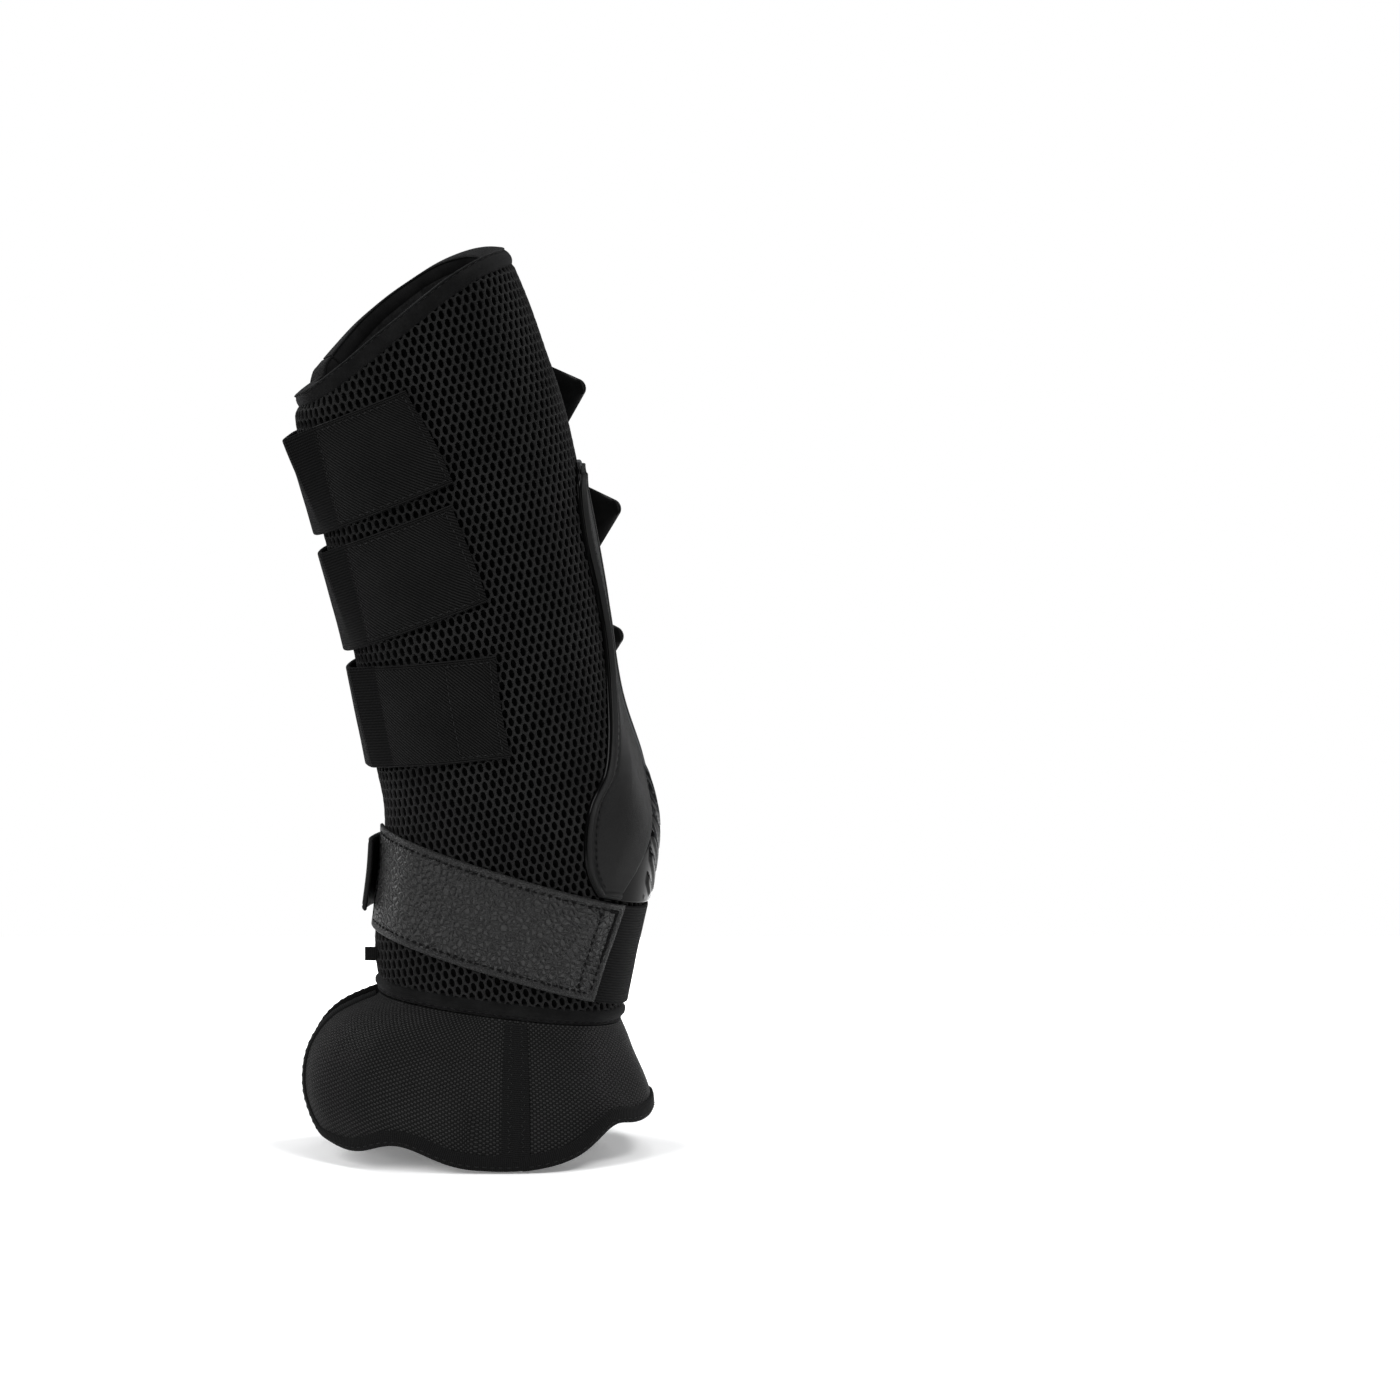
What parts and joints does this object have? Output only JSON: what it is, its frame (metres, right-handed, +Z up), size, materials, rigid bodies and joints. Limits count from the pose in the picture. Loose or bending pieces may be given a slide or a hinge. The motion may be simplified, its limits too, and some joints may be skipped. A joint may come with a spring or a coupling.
{
  "type": "horse leg guard",
  "caption": "Wrap-round padded leg guard for a horse: mesh sleeve with hard back shell, elastic hook-and-loop straps, leather fetlock strap and flared woven skirt.",
  "frame": {"origin": "middle of the leg space in the plane of the hem's lowest point", "axes": "+X towards the back of the leg (tendon), +Y towards the outer, far side where the straps fasten, +Z up the leg"},
  "size_m": [0.1438, 0.0948, 0.354],
  "materials": {
    "spacer_mesh": "open spacer mesh, matte",
    "foam": "matte",
    "gel_pad": "matte",
    "lining": "brushed, matte",
    "neoprene": "smooth knit face, soft sheen",
    "gloss_shell": "high gloss",
    "overlay": "fine leather-like grain, satin",
    "loop_pile": "brushed loop pile",
    "leather": "pebbled, satin",
    "elastic": "ribbed elastic, matte",
    "webbing": "twill face, matte",
    "hook_tape": "hook tape, matte",
    "moulded_rubber": "satin",
    "ballistic_nylon": "coarse basket weave, soft sheen",
    "nylon_tape": "ribbed tape, matte"
  },
  "bodies": {
    "sleeve": {"sleeve_mesh": "spacer_mesh", "sleeve_foam": "foam", "tendon_pad": "gel_pad", "sleeve_lining": "lining", "top_binding": "neoprene", "bottom_binding": "neoprene", "front_edge_binding": "neoprene", "closing_tongue": "lining", "back_shell": "gloss_shell", "shell_overlay_near": "overlay", "shell_overlay_far": "overlay", "loop_patch_back": "loop_pile", "fetlock_leather": "leather", "fetlock_elastic": "elastic", "skirt_front_near": "ballistic_nylon", "skirt_back": "ballistic_nylon", "skirt_seam_tape": "nylon_tape", "skirt_flap_binding_near": "nylon_tape", "skirt_hem_binding_back": "nylon_tape", "label_tab": "nylon_tape", "strap_upper_anchor": "webbing", "strap_middle_anchor": "webbing", "strap_lower_anchor": "webbing"},
    "wing": {"wing_mesh": "spacer_mesh", "wing_foam": "foam", "wing_lining": "lining", "wing_top_binding": "neoprene", "wing_bottom_binding": "neoprene", "wing_edge_binding": "neoprene", "wing_loop_patch": "loop_pile", "skirt_front_far": "ballistic_nylon", "skirt_flap_binding_far": "nylon_tape"},
    "upper_strap": {"strap_upper_elastic": "elastic"},
    "upper_hook_end": {"strap_upper_end": "webbing", "strap_upper_hook": "hook_tape", "strap_upper_tip": "moulded_rubber"},
    "middle_strap": {"strap_middle_elastic": "elastic"},
    "middle_hook_end": {"strap_middle_end": "webbing", "strap_middle_hook": "hook_tape", "strap_middle_tip": "moulded_rubber"},
    "lower_strap": {"strap_lower_elastic": "elastic"},
    "lower_hook_end": {"strap_lower_end": "webbing", "strap_lower_hook": "hook_tape", "strap_lower_tip": "moulded_rubber"},
    "fetlock_band": {"fetlock_strap": "elastic"},
    "fetlock_tab": {"fetlock_hook": "hook_tape", "fetlock_pull_tab": "moulded_rubber"}
  },
  "joints": [
    {"name": "wing_open", "type": "hinge", "parent": "sleeve", "child": "wing", "pos_m": [-0.0052, 0.04486, 0.15], "axis": [0.0928, 0.0341, -0.9951], "range_deg": [0, 40]},
    {"name": "upper_strap_open", "type": "hinge", "parent": "sleeve", "child": "upper_strap", "pos_m": [-0.07616, -0.00512, 0.26428], "axis": [-0.319, 0, 0.9478], "range_deg": [0, 88]},
    {"name": "middle_strap_open", "type": "hinge", "parent": "sleeve", "child": "middle_strap", "pos_m": [-0.06481, -0.00512, 0.22022], "axis": [-0.284, 0, 0.9588], "range_deg": [0, 88]},
    {"name": "lower_strap_open", "type": "hinge", "parent": "sleeve", "child": "lower_strap", "pos_m": [-0.0549, -0.00514, 0.17296], "axis": [-0.2639, 0, 0.9646], "range_deg": [0, 84]},
    {"name": "fetlock_strap_open", "type": "hinge", "parent": "sleeve", "child": "fetlock_band", "pos_m": [0.04398, 0.0285, 0.08331], "axis": [-0.19, -0.056, -0.9802], "range_deg": [0, 88]},
    {"name": "upper_end_peel", "type": "hinge", "parent": "upper_strap", "child": "upper_hook_end", "pos_m": [-0.02123, 0.0404, 0.28246], "axis": [-0.319, 0, 0.9478], "range_deg": [0, 60]},
    {"name": "middle_end_peel", "type": "hinge", "parent": "middle_strap", "child": "middle_hook_end", "pos_m": [-0.00963, 0.0404, 0.23637], "axis": [-0.284, 0, 0.9588], "range_deg": [0, 60]},
    {"name": "lower_end_peel", "type": "hinge", "parent": "lower_strap", "child": "lower_hook_end", "pos_m": [0.00018, 0.0404, 0.18798], "axis": [-0.2639, 0, 0.9646], "range_deg": [0, 60]},
    {"name": "fetlock_tab_peel", "type": "hinge", "parent": "fetlock_band", "child": "fetlock_tab", "pos_m": [-0.04011, 0.02871, 0.10901], "axis": [-0.2924, 0, -0.9563], "range_deg": [0, 50]}
  ],
  "couplings": [
    {"joint": "upper_strap_open", "follows": "wing_open", "ratio": 2.2},
    {"joint": "middle_strap_open", "follows": "wing_open", "ratio": 2.2},
    {"joint": "lower_strap_open", "follows": "wing_open", "ratio": 2.1},
    {"joint": "fetlock_strap_open", "follows": "wing_open", "ratio": 2.2}
  ]
}
